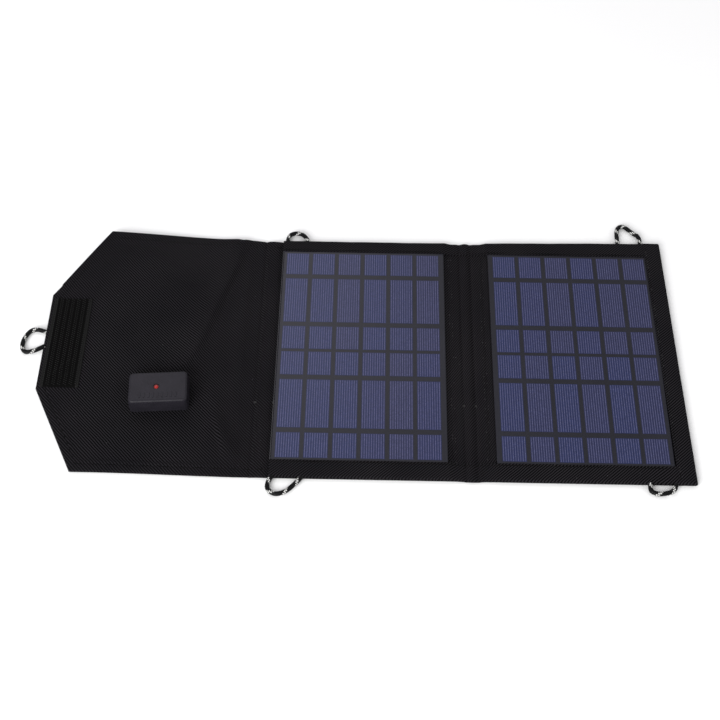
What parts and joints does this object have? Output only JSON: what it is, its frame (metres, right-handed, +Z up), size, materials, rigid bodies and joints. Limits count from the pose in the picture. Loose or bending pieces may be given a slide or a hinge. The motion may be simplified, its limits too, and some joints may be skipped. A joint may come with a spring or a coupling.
{
  "type": "folding solar charger",
  "caption": "Folding fabric solar charger: laminated panels on a cloth backing, with a cover flap that carries a USB regulator box, a hook-tape patch and cord tie loops.",
  "frame": {"origin": "centre of the open charger's footprint, without its cord loops, on the surface that it lies on", "axes": "+X along the open charger, from the flap's tip towards panel 2; +Y towards the rear hem; +Z up, the cells face up"},
  "size_m": [0.5107, 0.2622, 0.0155],
  "materials": {
    "black_twill": "coated polyester twill, matt",
    "braided_cord": "braided polyester cord with white tracer flecks",
    "hook_tape": "woven hook tape",
    "loop_tape": "brushed loop tape",
    "interlining": "non-woven felt",
    "stiffener_board": "extruded polypropylene board",
    "laminate_back": "dark glass-fibre laminate",
    "solar_cell": "blue-violet silicon",
    "cell_ribbon": "dark coated ribbon",
    "clear_film": "satin clear film",
    "potting": "potting compound",
    "chip_black": "moulded epoxy",
    "wire_sheath": "soft wire sheath",
    "box_plastic": "fine-textured moulding",
    "plate_plastic": "moulded",
    "circuit_board": "solder-masked glass fibre",
    "ferrite": "ferrite",
    "capacitor_can": "bright can",
    "socket_shell": "nickel-plated",
    "socket_plastic": "moulded",
    "socket_contact": "gold-plated",
    "lamp_red": "tinted lens",
    "screw_steel": "zinc-plated",
    "grommet_rubber": "soft rubber"
  },
  "bodies": {
    "panel_1": {"panel_1_back_cover": "black_twill", "panel_1_stiffener": "stiffener_board", "panel_1_front_cloth": "black_twill", "panel_1_backing_board": "laminate_back", "panel_1_cells": "solar_cell", "panel_1_ribbons": "cell_ribbon", "panel_1_front_film": "clear_film", "panel_1_rear_band": "black_twill", "panel_1_front_band": "black_twill", "panel_1_junction_cap": "potting", "panel_1_diode": "chip_black", "panel_1_lead": "wire_sheath", "panel_1_cord_loop_rear": "braided_cord", "panel_1_cord_loop_front": "braided_cord"},
    "fold_spine": {"fold_spine_back_cloth": "black_twill", "fold_spine_front_cloth": "black_twill", "fold_spine_lead": "wire_sheath"},
    "panel_2": {"panel_2_back_cover": "black_twill", "panel_2_stiffener": "stiffener_board", "panel_2_front_cloth": "black_twill", "panel_2_backing_board": "laminate_back", "panel_2_cells": "solar_cell", "panel_2_ribbons": "cell_ribbon", "panel_2_front_film": "clear_film", "panel_2_rear_band": "black_twill", "panel_2_front_band": "black_twill", "panel_2_side_band": "black_twill", "panel_2_loop_patch": "loop_tape", "panel_2_junction_cap": "potting", "panel_2_diode": "chip_black", "panel_2_lead": "wire_sheath", "panel_2_cord_loop_rear": "braided_cord", "panel_2_cord_loop_front": "braided_cord"},
    "flap_spine": {"flap_spine_back_cloth": "black_twill", "flap_spine_front_cloth": "black_twill", "flap_spine_lead": "wire_sheath"},
    "flap": {"flap_back_cloth": "black_twill", "flap_interlining": "interlining", "flap_front_cloth": "black_twill", "flap_backing_plate": "plate_plastic", "flap_hook_patch": "hook_tape", "flap_lead": "wire_sheath", "flap_cord_loop": "braided_cord", "lead_grommet": "grommet_rubber", "regulator_base": "box_plastic", "regulator_lid": "box_plastic", "regulator_pcb": "circuit_board", "inductor": "ferrite", "converter_chip": "chip_black", "capacitors": "capacitor_can", "usb_shell": "socket_shell", "usb_tongue": "socket_plastic", "usb_contacts": "socket_contact", "status_lamp": "lamp_red", "box_screws": "screw_steel"}
  },
  "joints": [
    {"name": "panel_fold", "type": "hinge", "parent": "fold_spine", "child": "panel_2", "pos_m": [0.0892, 0, 0.0021], "axis": [0, -1, 0], "range_deg": [0, 90]},
    {"name": "panel_spine_fold", "type": "hinge", "parent": "panel_1", "child": "fold_spine", "pos_m": [0.0803, 0, 0.0021], "axis": [0, -1, 0], "range_deg": [0, 90]},
    {"name": "flap_fold", "type": "hinge", "parent": "flap_spine", "child": "flap", "pos_m": [-0.1033, 0, 0.0021], "axis": [0, 1, 0], "range_deg": [0, 90]},
    {"name": "flap_spine_fold", "type": "hinge", "parent": "panel_1", "child": "flap_spine", "pos_m": [-0.0778, 0, 0.0021], "axis": [0, 1, 0], "range_deg": [0, 90]}
  ],
  "couplings": [
    {"joint": "panel_fold", "follows": "panel_spine_fold", "ratio": 1},
    {"joint": "flap_fold", "follows": "flap_spine_fold", "ratio": 1}
  ]
}
